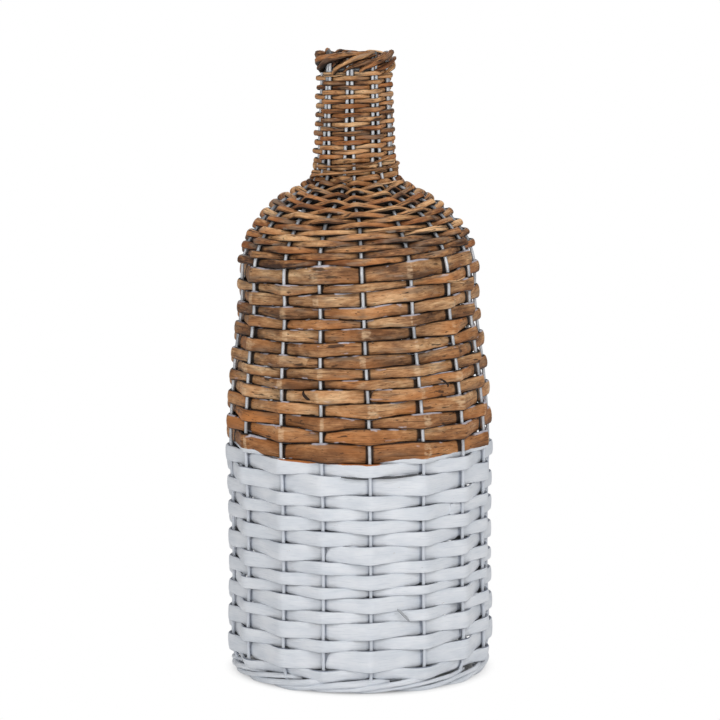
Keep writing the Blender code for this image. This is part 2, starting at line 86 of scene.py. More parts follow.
def eased(share):
    share = np.clip(share, 0.0, 1.0)
    return share * share * (3 - 2 * share)


def wander(at, seed, size=1.0):  # smooth chance values from -1 to 1 along a line
    table = np.random.RandomState(seed).uniform(-1, 1, chanceCount)
    place = np.asarray(at, float) / size
    cell = np.floor(place).astype(int)
    low, high = table[cell % chanceCount], table[(cell + 1) % chanceCount]
    return low + (high - low) * eased(place - cell)


def curveThrough(xs, ys, at):  # a smooth curve through rows of numbers
    xs, ys = np.asarray(xs), np.asarray(ys)
    gaps = np.diff(xs)
    rises = np.diff(ys) / gaps
    inner = (gaps[1:] * rises[:-1] + gaps[:-1] * rises[1:]) / (gaps[1:] + gaps[:-1])
    slopes = np.concatenate([rises[:1], inner, rises[-1:]])
    i = np.clip(np.searchsorted(xs, at, side="right") - 1, 0, len(gaps) - 1)
    t = (at - xs[i]) / gaps[i]
    return ((2 * t ** 3 - 3 * t ** 2 + 1) * ys[i] + (t ** 3 - 2 * t ** 2 + t) * gaps[i] * slopes[i]
            + (3 * t ** 2 - 2 * t ** 3) * ys[i + 1] + (t ** 3 - t ** 2) * gaps[i] * slopes[i + 1])


def readOff(rows, at):  # the value at a place, from rows of (place, value)
    return np.interp(at, *np.array(rows).T)


def unit(vectors):
    return vectors / np.linalg.norm(vectors, axis=-1, keepdims=True)


def stakeLine():  # radius and height of the stakes from foot to mouth, against length along them
    shoulderRadius = vase["bodyRadius"] * vase["bodyLine"][-1][1]
    drop = shoulderRadius - vase["neckRadius"]
    rows = [(vase["bodyRadius"] * r, vase["bodyHeight"] * z) for z, r in vase["bodyLine"]]
    rows += [(vase["neckRadius"] + drop * r, vase["bodyHeight"] + vase["shoulderRise"] * z)
             for z, r in vase["shoulderLine"]]
    rows += [(vase["neckRadius"] * r, neckBase + vase["neckLength"] * z) for z, r in vase["neckLine"]]
    rows = np.array(rows)
    lengths = np.concatenate([[0.0], np.cumsum(np.hypot(*np.diff(rows, axis=0).T))])
    at = np.linspace(0.0, lengths[-1], lineSteps)
    return at, curveThrough(lengths, rows[:, 0], at), curveThrough(lengths, rows[:, 1], at)


lineLengths, lineRadii, lineHeights = stakeLine()
lineOut = unit(np.stack([np.gradient(lineHeights), -np.gradient(lineRadii)], axis=1))


def lengthAt(height):
    return np.interp(height, lineHeights, lineLengths)


def spotAt(length):  # radius and height
    return np.interp(length, lineLengths, lineRadii), np.interp(length, lineLengths, lineHeights)


def stakeAngle(stake, radius, height):  # even round the body, drawn into pairs up the neck
    rise = (height - vase["bodyHeight"]) / vase["shoulderRise"]
    merge = eased((rise - vase["mergeStart"]) / (vase["mergeEnd"] - vase["mergeStart"]))
    body = np.radians(np.array(vase["stakes"])[stake] - readOff(vase["turnLine"], height / vase["bodyHeight"]))
    neck = np.radians(np.array(vase["groups"]))[(stake + 1) // 2]
    tight = vase["wire"] + vase["pairGap"]
    upNeck = np.clip((height - neckBase) / vase["neckLength"], 0, 1)
    spread = tight + (vase["pairSpread"] - tight) * (1 - upNeck) ** 2
    side = np.where(stake == 0, 0, np.where(stake % 2 == 0, 1, -1))
    neck = neck + side * np.arcsin(spread / 2 / radius)
    return body + (neck - body) * merge


def around(radius, angle, height):
    return np.stack([radius * np.sin(angle), -radius * np.cos(angle), height + 0 * radius], axis=-1)


def leaned(points):  # the hand-made vase's slight lean to the left
    points = np.array(points, float)
    points[..., 0] -= vase["lean"] * readOff(vase["leanLine"], points[..., 2] / fullHeight)
    return points


def courseEdges():  # spiral turns against length along the stakes, for the edges between courses
    bounds = [lengthAt(h) for h in (vase["weaveStart"], vase["paintHeight"], vase["bodyHeight"],
                                    neckBase + vase["neckWeaveStart"], neckWeaveEnd)]
    shares = (vase["lowCourses"], vase["highCourses"], (1.0,) * vase["shoulderCourses"],
              (1.0,) * vase["neckCourses"])
    turns, lengths = [vase["spiralStart"]], [bounds[0]]
    for low, high, run in zip(bounds, bounds[1:], shares):
        for share in run:
            turns.append(turns[-1] + 1)
            lengths.append(lengths[-1] + (high - low) * share / sum(run))
    return np.array(turns), np.array(lengths)


edgeTurns, edgeLengths = courseEdges()


def edgeLength(turns, angle):
    level = np.interp(turns, edgeTurns, edgeLengths)
    radius, height = spotAt(level)
    return level + readOff(vase["tiltLine"], height / fullHeight) * radius * np.sin(angle)


# where the weavers cross the stakes, counted in stakes passed along the spiral
firstKnot, endKnot = -40, 1290
knots = np.arange(firstKnot, endKnot)
knotStake = knots % stakeCount
knotTurn = knots // stakeCount
knotGroup = (knotStake + 1) // 2
knotSide = np.where(np.where(knotTurn < neckFirstCourse, knots,
                             groupCount * (knotTurn - neckFirstCourse) + knotGroup) % 2 == 1, 1.0, -1.0)
knotLevel = np.interp(knots / stakeCount, edgeTurns, edgeLengths)
knotAngle = stakeAngle(knotStake, *spotAt(knotLevel))
knotLow = edgeLength(knots / stakeCount, knotAngle)
knotHigh = edgeLength(knots / stakeCount + 1, knotAngle)
knotLength = (knotLow + knotHigh) / 2
knotHalf = (knotHigh - knotLow) / 2
knotRadius, knotHeight = spotAt(knotLength)
knotAngle = stakeAngle(knotStake, knotRadius, knotHeight)
knotSpot = around(knotRadius, knotAngle, knotHeight)
outRadial = np.interp(knotLength, lineLengths, lineOut[:, 0])
outUp = np.interp(knotLength, lineLengths, lineOut[:, 1])
knotOut = unit(np.stack([outRadial * np.sin(knotAngle), -outRadial * np.cos(knotAngle), outUp], axis=1))
knotUp = np.stack([-outUp * np.sin(knotAngle), outUp * np.cos(knotAngle), outRadial], axis=1)
print("form laid out")

sharpAngle = math.radians(62)


def addObject(name, data):
    made = bpy.data.objects.new(name, data)
    bpy.context.scene.collection.objects.link(made)
    return made


def joined(parts):  # verts, faces and attributes of several rods, as one piece's
    verts, faces, attributes = [], [], {}
    for ring, quads, extra in parts:
        start = sum(map(len, verts))
        faces += [[start + k for k in quad] for quad in quads]
        verts.append(ring)
        for key, values in extra.items():
            attributes.setdefault(key, []).append(values)
    return np.concatenate(verts), faces, {key: np.concatenate(rows) for key, rows in attributes.items()}


def addPiece(name, parts, finish, node):
    verts, faces, attributes = joined(parts)
    mesh = bpy.data.meshes.new(name)
    mesh.from_pydata(leaned(verts).tolist(), [], faces)
    for key, values in attributes.items():
        layer = mesh.attributes.new(key, "FLOAT_VECTOR", "POINT")
        layer.data.foreach_set("vector", np.asarray(values, np.float32).ravel())
    tidy = bmesh.new()
    tidy.from_mesh(mesh)
    bmesh.ops.recalc_face_normals(tidy, faces=tidy.faces)
    tidy.to_mesh(mesh)
    tidy.free()
    mesh.shade_smooth()
    mesh.set_sharp_from_angle(angle=sharpAngle)
    mesh.materials.append(finish)
    piece = addObject(name, mesh)
    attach(piece, "root")
    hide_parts(node)


def skin(rings, sides):  # faces round a row of rings, with closed ends
    a = np.arange(rings - 1)[:, None] * sides + np.arange(sides)
    b = np.arange(rings - 1)[:, None] * sides + (np.arange(sides) + 1) % sides
    quads = np.stack([a, b, b + sides, a + sides], axis=-1).reshape(-1, 4)
    last = (rings - 1) * sides
    return quads.tolist() + [list(range(sides)), list(range(last, last + sides))]


def arcLengths(points):
    return np.concatenate([[0.0], np.cumsum(np.linalg.norm(np.diff(points, axis=0), axis=1))])


lumpSizes = (0.011, 0.004)  # along a rod, coarse and fine


def rodRings(points, radius, sides, seed, lumps=0.0, squash=1.0):  # a round rod through points
    along = unit(np.gradient(points, axis=0))
    frameUp = np.zeros_like(points)
    up = np.array([0.0, 0.0, 1.0]) if abs(along[0][2]) < 0.9 else np.array([1.0, 0.0, 0.0])
    for i, direction in enumerate(along):  # carried along without twist
        up = unit(up - direction * np.dot(up, direction))
        frameUp[i] = up
    sideways = np.cross(along, frameUp)
    arc = arcLengths(points)
    turn = np.linspace(0, 2 * math.pi, sides, endpoint=False)
    radii = np.reshape(radius, (-1, 1)) * np.ones((len(points), sides))
    if lumps:
        for k in range(sides):
            coarse, fine = wander(arc, seed + k // 2, lumpSizes[0]), wander(arc, seed + 70 + k, lumpSizes[1])
            radii[:, k] *= 1 + lumps * (0.6 * coarse + 0.4 * fine)
    verts = (points[:, None] + frameUp[:, None] * (np.cos(turn) * squash)[None, :, None] * radii[:, :, None]
             + sideways[:, None] * np.sin(turn)[None, :, None] * radii[:, :, None])
    strand = np.broadcast_arrays(arc[:, None] + seed, turn * radii, float(seed % 97))
    return verts.reshape(-1, 3), np.stack(strand, axis=-1).reshape(-1, 3)


rodShade = {"level": 0.62, "outwards": 0.35, "upwards": 0.45}


def rodAttributes(ring, strand, sides, tone):  # painted shade: the sides turned down or inwards are darkened
    rows = ring.reshape(-1, sides, 3)
    middle = rows.mean(axis=1, keepdims=True)
    facing = unit(rows - middle + 1e-9)
    radial = middle[..., :2] / np.linalg.norm(middle[..., :2], axis=-1, keepdims=True)
    over = (rodShade["level"] + rodShade["outwards"] * np.sum(facing[..., :2] * radial, axis=-1)
            + rodShade["upwards"] * facing[..., 2])
    plain = np.zeros(len(ring))
    return {"strand": strand, "marks": np.stack([plain, plain, plain + tone], axis=1),
            "wear": np.stack([plain + 1, over.ravel(), plain], axis=1)}


def rodPart(points, radii, sides, seed, tone, lumps=0.0, squash=1.0):
    ring, strand = rodRings(points, radii, sides, seed, lumps, squash)
    return ring, skin(len(points), sides), rodAttributes(ring, strand, sides, tone)


def capped(points, radius, steps=3):  # radii that round a rod's two ends off
    radii = np.full(len(points), radius)
    for k in range(steps):
        share = math.sqrt(1 - (1 - (k + 0.6) / (steps + 0.6)) ** 2)
        radii[k] *= share
        radii[-1 - k] *= share
    return radii


# How a weaver lies: bend is the length of its rounded corners, swell its swing over its neighbours, most its
# largest half width and slide its shift down a slope, both against height. hide, pinch and part shape it inside
# a stake, near and step space its rings, and section is its outline, across and outwards.
brownLook = {
    "thickness": 0.003, "bend": 0.0036, "swell": 0.068, "uneven": 0.2, "full": 0, "backFull": 0,
    "most": ((0, 0.02),), "gap": 0.0001, "gapChance": 0.0003, "hide": 0.0016, "pinch": 0.0009,
    "part": 0.0018, "slack": 0.0009, "twist": 7, "slide": ((0, 0),), "jumble": 0, "overlap": 0.55,
    "rough": 0.00032,
    "section": ((-1, 0.14), (-0.94, 0.46), (-0.76, 0.74), (-0.42, 0.93), (0, 1), (0.42, 0.93),
                (0.76, 0.74), (0.94, 0.46), (1, 0.14), (0.93, 0.03), (0, 0), (-0.93, 0.03)),
    "near": (0, 0.0009, 0.0019, 0.0031, 0.0046, 0.007), "step": 0.0055,
}
whiteLook = dict(
    brownLook, thickness=0.0032, bend=0.0092, swell=0.056, uneven=0.16, full=0.008, gap=0, gapChance=0.00025,
    hide=0.002, pinch=0.0021, part=0.0012, slack=0.0004, twist=3, rough=0.00008,
    section=((-1, 0.36), (-0.965, 0.62), (-0.86, 0.83), (-0.5, 0.96), (0, 1), (0.5, 0.96),
             (0.86, 0.83), (0.965, 0.62), (1, 0.36), (0.93, 0.03), (0, 0), (-0.93, 0.03)))
shoulderLook = dict(
    brownLook, thickness=0.004, bend=0.0046, swell=0.11, uneven=0.16, full=0.04, backFull=0.6,
    most=((0.405, 0.0044), (0.436, 0.004), (0.452, 0.0034), (0.488, 0.0029)),
    gap=0, gapChance=0.0003, hide=0.0015, pinch=0, part=0, slack=0.0003, twist=12,
    slide=((0.405, 0.6), (0.44, 0.5), (0.455, 0.24), (0.488, 0.12)),
    jumble=0.0009, overlap=0.8, rough=0.00028, near=(0,), step=0.0026,
    section=((-1, 0.4), (-0.92, 0.66), (-0.66, 0.88), (-0.25, 1), (0.25, 1), (0.66, 0.88),
             (0.92, 0.66), (1, 0.4), (0.7, 0.06), (0, 0), (-0.7, 0.06)))
neckLook = dict(
    shoulderLook, thickness=0.0028, bend=0.0036, swell=0.09, full=0.03, backFull=0.25,
    most=((0.488, 0.0022), (0.5, 0.0026), (0.6, 0.0026)), gapChance=0.0006, hide=0.0008,
    slack=0, twist=9, slide=((0, 0),), jumble=0, step=0.0022)
# What all weavers share. Each of the two seeds draws one wavy line that neighbours have in common, the loose
# values say where rods lie unevenly, and jog is an end's step over or under the next weaver's.
lay = {
    "fineStep": 0.0004, "mostSlide": 0.0026, "mostLift": 0.0016, "pinchReach": 0.005,
    "taperReach": 0.003, "slantReach": 0.009, "slant": 0.35, "leastReach": 0.0002,
    "swellSeed": 401, "shiftSeed": 301, "edgeWave": 0.006, "pastStake": 0.22, "shortLap": 0.16,
    "looseStart": 0.03, "looseReach": 0.012, "looseEnd": 0.01, "jogRun": 0.3, "jogLift": 0.56,
    "stray": 0.0002, "bruiseSheen": 0.0032, "bruiseSheenChance": 0.0022, "bruiseSheenShift": 0.004,
}


def crossingCentres(look):  # the middle of the weaver at each crossing
    reach = wireRadius + vase["seat"] + look["thickness"] / 2
    slack = look["slack"] * (1 + wander(knots, 11, 0.7))
    centres = knotSpot + knotOut * (knotSide * reach - (knotSide < 0) * slack)[:, None]
    # on a sloping wall a stiff rod keeps its level, so it crosses the stake lower outside than inside
    steep = knotOut[:, 2] / np.hypot(knotOut[:, 0], knotOut[:, 1])
    slide = readOff(look["slide"], knotHeight)
    lower = np.clip(reach * steep, -lay["mostSlide"], lay["mostSlide"])
    centres -= knotUp * (slide * knotSide * lower)[:, None]
    # only the shoulder's rods lie unevenly
    loose = (eased((knotHeight - vase["bodyHeight"]) / lay["looseStart"])
             * eased((neckBase + lay["looseReach"] - knotHeight) / lay["looseEnd"]))
    centres += knotUp * (look["jumble"] * loose * wander(knots, 21, 0.7))[:, None]
    ways = unit(np.diff(centres, axis=0))
    turnSize = np.zeros(len(knots))
    turnSize[1:-1] = np.linalg.norm(np.diff(ways, axis=0), axis=1)
    lift = np.minimum(turnSize * look["bend"] / 6, lay["mostLift"])  # softening a bend draws it in by this
    return centres + knotOut * (knotSide * lift)[:, None]


def softened(points, step, width):  # a line with its corners rounded over a width
    reach = max(1, int(round(width / step)))
    weights = 1 - np.abs(np.arange(-reach, reach + 1)) / (reach + 1)
    weights /= weights.sum()
    padded = np.concatenate([np.repeat(points[:1], reach, 0), points, np.repeat(points[-1:], reach, 0)])
    return np.stack([np.convolve(padded[:, k], weights, "valid") for k in range(3)], axis=1)


def sampleArcs(arc, look, start, end):  # where a weaver's rings stand, closer near the crossings
    stops = []
    for low, high in zip(arc, arc[1:]):
        length = high - low
        near = [d for d in look["near"] if d < length * 0.4]
        count = max(1, int(round((length - 2 * near[-1]) / look["step"])))
        middle = np.linspace(low + near[-1], high - near[-1], count + 1)[1:-1]
        stops += [low + d for d in near] + list(middle) + [high - d for d in reversed(near) if d > 0]
    stops = np.array([s for s in stops if start < s < end])
    return np.concatenate([[start], stops, [end]])


def weaver(first, last, look, centres, seed, startSide, endSide):  # first and last are in stakes passed
    run = np.arange(math.floor(first) - 1, math.ceil(last) + 2)
    corners = centres[run - firstKnot]
    arc = arcLengths(corners)
    fine = np.arange(0.0, arc[-1], lay["fineStep"])
    line = np.stack([np.interp(fine, arc, corners[:, k]) for k in range(3)], axis=1)
    line = softened(line, lay["fineStep"], look["bend"])
    start, end = np.interp([first, last], run, arc)
    at = sampleArcs(arc, look, start, end)
    passed = np.interp(at, arc, run)
    points = np.stack([np.interp(at, fine, line[:, k]) for k in range(3)], axis=1)
    whole = np.floor(passed).astype(int)
    share = passed - whole
    i = whole - firstKnot

    def mixed(rows):  # between the crossing before and the next
        return rows[i] + (rows[i + 1] - rows[i]) * (share[:, None] if rows.ndim > 1 else share)

    back = eased(points[:, 1] / np.hypot(points[:, 0], points[:, 1]) / 0.3)
    half = mixed(knotHalf) * (1 + look["full"] + look["backFull"] * back)
    side = knotSide[i] + (knotSide[i + 1] - knotSide[i]) * (0.35 * share + 0.65 * eased(share))
    out = unit(mixed(knotOut))
    nearest = np.round(passed).astype(int) - firstKnot
    fromStake = at - np.interp(np.round(passed), run, arc)
    behind = eased((-side - 0.1) / 0.9)
    pinch = np.where(knotSide[nearest] < 0, np.exp(-(fromStake / lay["pinchReach"]) ** 2), 0) * look["pinch"]

    # neighbouring courses share one wavy boundary, which swings over outside stakes and under inside ones
    def edge(sign, hiding, hideSize, gapSize, hideSeed, gapSeed, roughSeed, pinchSeed, partSeed):
        shared = passed + (stakeCount if sign > 0 else 0)
        beside = np.interp(passed + sign * stakeCount, knots, knotHalf)
        swell = look["swell"] * (half + beside) * (1 + wander(shared, lay["swellSeed"], 1.9))
        hidden = look["hide"] * behind * (hiding + 0.4 * wander(passed, seed + hideSeed, hideSize))
        shift = wander(shared, lay["shiftSeed"], 0.9) * look["uneven"] * half
        gap = look["gap"] + look["gapChance"] * np.clip(wander(passed, seed + gapSeed, gapSize), 0, 1) ** 2
        rough = look["rough"] * wander(at, seed + roughSeed, lay["edgeWave"])
        # drawn in at an inside stake, and a few strips stand clear of their neighbour there
        drawn = (pinch * (0.8 + 0.5 * wander(nearest, seed + pinchSeed))
                 + look["part"] * behind * np.clip(wander(nearest, seed + partSeed), 0, 1) ** 3)
        return sign * half + sign * swell * side + sign * hidden + shift - sign * gap + rough - sign * drawn

    low, high = edge(-1, 1, 1.1, 0.37, 12, 1, 3, 15, 19), edge(1, 0.6, 1.2, 0.41, 13, 2, 4, 16, 11)
    thick = look["thickness"] * (1 + 0.12 * wander(passed, seed + 5, 0.9))
    # ends lie over or under the next weaver's, and are cut aslant
    lap, slope = look["overlap"], lay["jogRun"]
    jog = (startSide * eased((first + 1.5 * lap + slope - passed) / slope)
           + endSide * eased((passed - last + 1.5 * lap + slope) / slope))
    stray = lay["stray"] * wander(passed, seed + 6, 0.6)
    points = points + out * (jog * look["thickness"] * lay["jogLift"] + stray)[:, None]
    fromEnd = np.minimum(at - start, end - at)
    taper = eased(fromEnd / lay["taperReach"] + 0.35)
    most = readOff(look["most"], points[:, 2]) * (1 + 0.15 * wander(passed, seed + 14, 1.5) + back)
    reach = np.minimum((high - low) / 2, most)
    middle, reach = (low + high) / 2, np.maximum(reach, lay["leastReach"]) * (0.45 + 0.55 * taper)
    thick = thick * (0.35 + 0.65 * taper)
    along = unit(np.gradient(points, at, axis=0))
    normal = unit(out - along * np.sum(out * along, axis=1, keepdims=True))
    up = np.cross(normal, along)
    twist = np.radians(look["twist"]) * wander(passed, seed + 7, 0.8)
    shape = np.array(look["section"])
    across = shape[:, 0] * reach[:, None]
    depth = (shape[:, 1] - 0.5) * thick[:, None]
    c, s = np.cos(twist)[:, None], np.sin(twist)[:, None]
    rise, stand = middle[:, None] + across * c - depth * s, across * s + depth * c
    slant = np.where(at - start < end - at, 1, -1) * (1 - eased(fromEnd / lay["slantReach"])) * lay["slant"]
    verts = (points[:, None] + up[:, None] * rise[:, :, None] + normal[:, None] * stand[:, :, None]
             + along[:, None] * (slant[:, None] * across)[:, :, None])
    # the bruise and painted highlight on a bend over a stake, whose place, width and strength are left to
    # chance
    shifted = fromStake + lay["bruiseSheenShift"] * wander(nearest, seed + 17)
    away = shifted / (lay["bruiseSheen"] + lay["bruiseSheenChance"] * wander(nearest, seed + 18))
    kink = np.where(knotSide[nearest] > 0, np.exp(-away ** 4), 0) * (0.35 + 0.9 * wander(nearest, seed + 8))
    tone = 0.5 + 0.28 * wander(np.zeros(1), seed + 9)[0] + 0.22 * wander(passed, seed + 10, 1.7)
    # the last row drives the painted shade: where the weaver goes behind a stake, and its inner face
    rows = {"strand": (at[:, None] + seed * 0.37, across, float(seed % 89)),
            "marks": (kink[:, None], shape[:, 0], tone[:, None]),
            "wear": (side[:, None], shape[:, 1], 0.0)}
    attributes = {key: np.stack(np.broadcast_arrays(*row), axis=-1).reshape(-1, 3) for key, row in rows.items()}
    return verts.reshape(-1, 3), skin(len(at), len(shape)), attributes


# Loose ends, and dark rods standing for shaded gaps and grooves, on the piece that they belong to: tone,
# thickness, then angle, height and distance off the stakes' line in millimetres for each spot. A tone below 0
# makes a twig dark as painted shade, and one below -3 darkens the paint too.
twigs = {
    "brownStrip04": (
        (-0.1, 0.003, ((-24.2, 288, 2.4), (-24, 285.8, 3.9), (-23.3, 283.4, 4), (-22.2, 281.4, 3.9),
                       (-21.4, 280, 2.2))),
        (-0.1, 0.0022, ((37.5, 297, 3), (38.6, 296.4, 5), (41.6, 291.5, 5.2), (42.6, 288.5, 3)))),
    "brownStrip09": (
        (0.8, 0.0016, ((46, 387, 4), (52, 386.6, 6.4), (58, 388.5, 6.4))),
        (0.7, 0.0014, ((47, 386, 4), (54, 384.4, 6.4), (58, 383, 6))),
        (0.3, 0.002, ((224, 342, 3), (228, 339, 6), (236, 335, 6)))),
    "whiteStrip04": (
        (-3.5, 0.0032, ((16.2, 82.3, 2.4), (17.4, 80, 4.2), (19.4, 75, 4.9), (21.4, 70.4, 4))),),
    "whiteStrip10": (
        (-5, 0.0032, ((-7.5, 208.8, 2.2), (-1, 207.5, 0.8), (4.9, 207.5, -0.9), (10, 207.8, 0.4),
                      (15, 208.1, 2), (20, 208.8, 2.6), (27, 209.4, 1.8))),),
    "shoulderRod06": (
        (-0.1, 0.006, ((-56, 452, -6), (-48, 451.5, -9), (-34, 451.5, -9), (-27, 452, -6))),
        (-0.1, 0.006, ((14, 451, -6), (20, 450.5, -9), (32, 450.5, -9), (40, 451, -6)))),
    "shoulderRod10": (
        (0.9, 0.0022, ((29, 474, 4), (36, 474.5, 7), (52, 475.5, 7), (60, 475.5, 4.5))),
        (0.1, 0.0018, ((-32, 481, 5), (-20, 478, 7), (-6, 474.5, 6.5), (0, 473.5, 4))),
        (0.2, 0.002, ((-30, 474.5, 4), (-20, 476.5, 7), (-10, 479, 6.5), (-4, 481, 4)))),
    "neckRod01": (
        (0.5, 0.0034, ((-95, 477, 3.5), (-60, 481, 6.6), (-25, 484.5, 6.6), (0, 486, 6.6), (40, 488.5, 6.6),
                       (78, 491, 6.4), (98, 492, 3.5))),
        (0.35, 0.003, ((-78, 488, 3.5), (-50, 489.5, 6.4), (-14, 491, 6.4), (20, 493.5, 6.2), (48, 498, 5.4),
                       (60, 499, 2.5))),
        (0.5, 0.003, ((120, 481, 3.5), (150, 484, 6.6), (190, 486, 6.6), (225, 488.5, 6.4), (245, 489, 3.5)))),
}
twigLook = {"sides": 8, "rings": 20, "lumps": 0.25, "squash": 0.8, "dimmed": 0.25}


def addTwigs(name, parts):
    for place, (tone, thick, spots) in enumerate(twigs.get(name, ())):
        spots = np.array(spots, float)
        steps = np.linspace(0, 1, len(spots))
        share = np.linspace(0, 1, twigLook["rings"])
        angle, height, lift = (curveThrough(steps, spots[:, k], share) for k in range(3))
        points = around(spotAt(lengthAt(height / 1000))[0] + lift / 1000, np.radians(angle), height / 1000)
        radii = capped(points, thick / 2, 2 if tone > 0 else 8)  # a dark one is pointed
        parts.append(rodPart(points, radii, twigLook["sides"], 500 + 11 * place, tone, twigLook["lumps"],
                             twigLook["squash"]))
        # painted shade: a dark twig's colour is dimmed all over
        parts[-1][2]["wear"][:, 1] *= 1.0 if tone > 0 else twigLook["dimmed"]
    return parts


weaving = (
    {"node": "white_strip", "piece": "whiteStrip", "slot": "white_painted_willow", "look": whiteLook,
     "joints": (-2, 26, 52, 80, 108, 134, 162, 190, 216, 244, 272), "seed": 1000},
    {"node": "brown_strip", "piece": "brownStrip", "slot": "split_willow", "look": brownLook,
     "joints": (272, 298, 324, 350, 374, 400, 426, 450, 476, 502, 526), "seed": 2000},
    {"node": "shoulder_rod", "piece": "shoulderRod", "slot": "rod_willow", "look": shoulderLook,
     "joints": (526, 562, 594, 630, 662, 698, 730, 764, 798, 832, 866), "seed": 3000},
    {"node": "neck_rod", "piece": "neckRod", "slot": "rod_willow", "look": neckLook,
     "joints": (866, 905, 935, 973, 1003, 1041, 1071, 1109, 1139, 1177, 1204), "seed": 4000},
)


def layWeaving(finishes):
    firstJoint, lastJoint = weaving[0]["joints"][0], weaving[-1]["joints"][-1]
    for kind in weaving:
        look, joints, slotName = kind["look"], kind["joints"], kind["slot"]
        centres = crossingCentres(look)
        for number, (first, last) in enumerate(zip(joints, joints[1:]), 1):
            seed = kind["seed"] + number * 20
            startSide = 0 if first == firstJoint else 1
            endSide = 0 if last == lastJoint else -1
            begin = first + lay["pastStake"] - (lay["shortLap"] if number % 3 else look["overlap"]) * startSide
            end = last + lay["pastStake"] - look["overlap"] * endSide
            parts = [weaver(begin, end, look, centres, seed, startSide, endSide)]
            name = f"{kind['piece']}{number:02d}"
            node = f"{kind['node']}_{number:02d}"
            addPiece(name, addTwigs(name, parts), finishes[slotName], node)
        print("woven", kind["piece"])


wireLook = {
    "sides": 10, "step": 0.004, "archSpots": (165, 15, 7),
    # how far each group's bend stays under the mouth
    "drops": (0.0034, 0.004, 0.0036, 0.002, 0.0, 0.0006, 0.0012, 0.0018, 0.003),
}


def addWire(name, points, radius, seed, finish, node):
    verts, strand = rodRings(points, radius, wireLook["sides"], seed)
    part = verts, skin(len(points), wireLook["sides"]), {"strand": strand}
    addPiece(name, [part], finish, node)


def stakeRun(stake, top):  # a stake's points from foot to the start of its top bend
    count = int(lineLengths[-1] / wireLook["step"])
    lengths = np.linspace(0.0, lengthAt(top), count)
    radius, height = spotAt(lengths)
    return around(radius, stakeAngle(stake, radius, height), height)


def layStakes(finish):
    for group in range(groupCount):
        top = fullHeight - wireRadius - wireLook["drops"][group]
        members = [k for k in range(stakeCount) if (k + 1) // 2 == group]
        if len(members) == 1:
            points, node = stakeRun(members[0], top), "stake_single"
        else:
            bend = (vase["wire"] + vase["pairGap"]) / 2
            legs = [stakeRun(k, top - bend) for k in members]
            middle, half = (legs[0][-1] + legs[1][-1]) / 2, (legs[1][-1] - legs[0][-1]) / 2
            turns = np.radians(np.linspace(*wireLook["archSpots"]))
            rise = np.array([0, 0, np.linalg.norm(half)])
            arch = [middle + half * math.cos(t) + rise * math.sin(t) for t in turns]
            points, node = np.concatenate([legs[0], arch, legs[1][::-1]]), f"stake_hairpin_{group}"
        name = "stakeSingle" if group == 0 else f"stakeHairpin{group}"
        addWire(name, points, wireRadius, 7 + group, finish, node)
    print("stakes bent")


rimLook = {
    "sides": 9, "lumps": 0.3, "rings": 30, "parts": ((0.8, 0.16), (0.5, 0.4)),  # size, distance apart
    "hidden": {"count": 3, "waves": 7, "rings": 91, "sides": 8, "radius": 0.0268, "swing": 0.0013,
               "height": 0.588, "rise": 0.0042, "thick": 0.0022},
    "hoopRings": 73, "stray": (0.0006, 0.001),  # out and up
    # share of a strand's way, distance from the axis, height: from inside, out between stakes, up and in again
    "way": ((-0.08, 0.03, 0.5762), (0, 0.0314, 0.579), (0.1, 0.034, 0.5812), (0.22, 0.0352, 0.5838),
            (0.5, 0.0358, 0.5888), (0.78, 0.0348, 0.5932), (0.92, 0.0324, 0.5946), (1.08, 0.0292, 0.5942)),
    # start angle, turn, thickness, lift at the start and at the end, share where it is cut, and flare
    "strands": ((240, 150, 0.008, 0.0044, 0.0008, 1.08, 0), (277, 82, 0.0074, 0, 0, 1.08, 0),
                (322, 74, 0.0066, 0.001, 0.0018, 1.08, 0), (346, 84, 0.0058, 0.0022, 0.0006, 1.08, 0),
                (374, 74, 0.008, 0.0036, 0.002, 0.82, 0), (398, 62, 0.0064, 0.003, -0.0048, 0.86, 0.0034),
                (432, 84, 0.0062, 0, 0, 1.08, 0), (474, 86, 0.0068, 0.0006, 0, 1.08, 0),
                (514, 88, 0.0068, 0, 0.0006, 1.08, 0), (562, 96, 0.0074, 0.0016, 0.001, 0.97, 0.0014),
                (604, 76, 0.0066, -0.0004, -0.003, 1.08, 0), (452, 120, 0.0058, 0.002, -0.001, 1.08, 0),
                (536, 84, 0.0056, 0.0014, 0, 1.08, 0)),
}


def hiddenTurns(number):  # the strands' turns inside the stakes, dark in tone as painted shade
    hidden, parts = rimLook["hidden"], []
    turn = np.linspace(0, 1, hidden["rings"])
    for part in range(hidden["count"]):
        phase = math.pi * (part * 2 / 3 + number / 3) + 2 * math.pi * hidden["waves"] * turn
        points = around(hidden["radius"] + hidden["swing"] * np.cos(phase), 2 * math.pi * turn + number,
                        hidden["height"] + hidden["rise"] * np.sin(phase))
        parts.append(rodPart(points, hidden["thick"], hidden["sides"], 400 + 7 * part + number, -0.1, 0.2))
    return parts


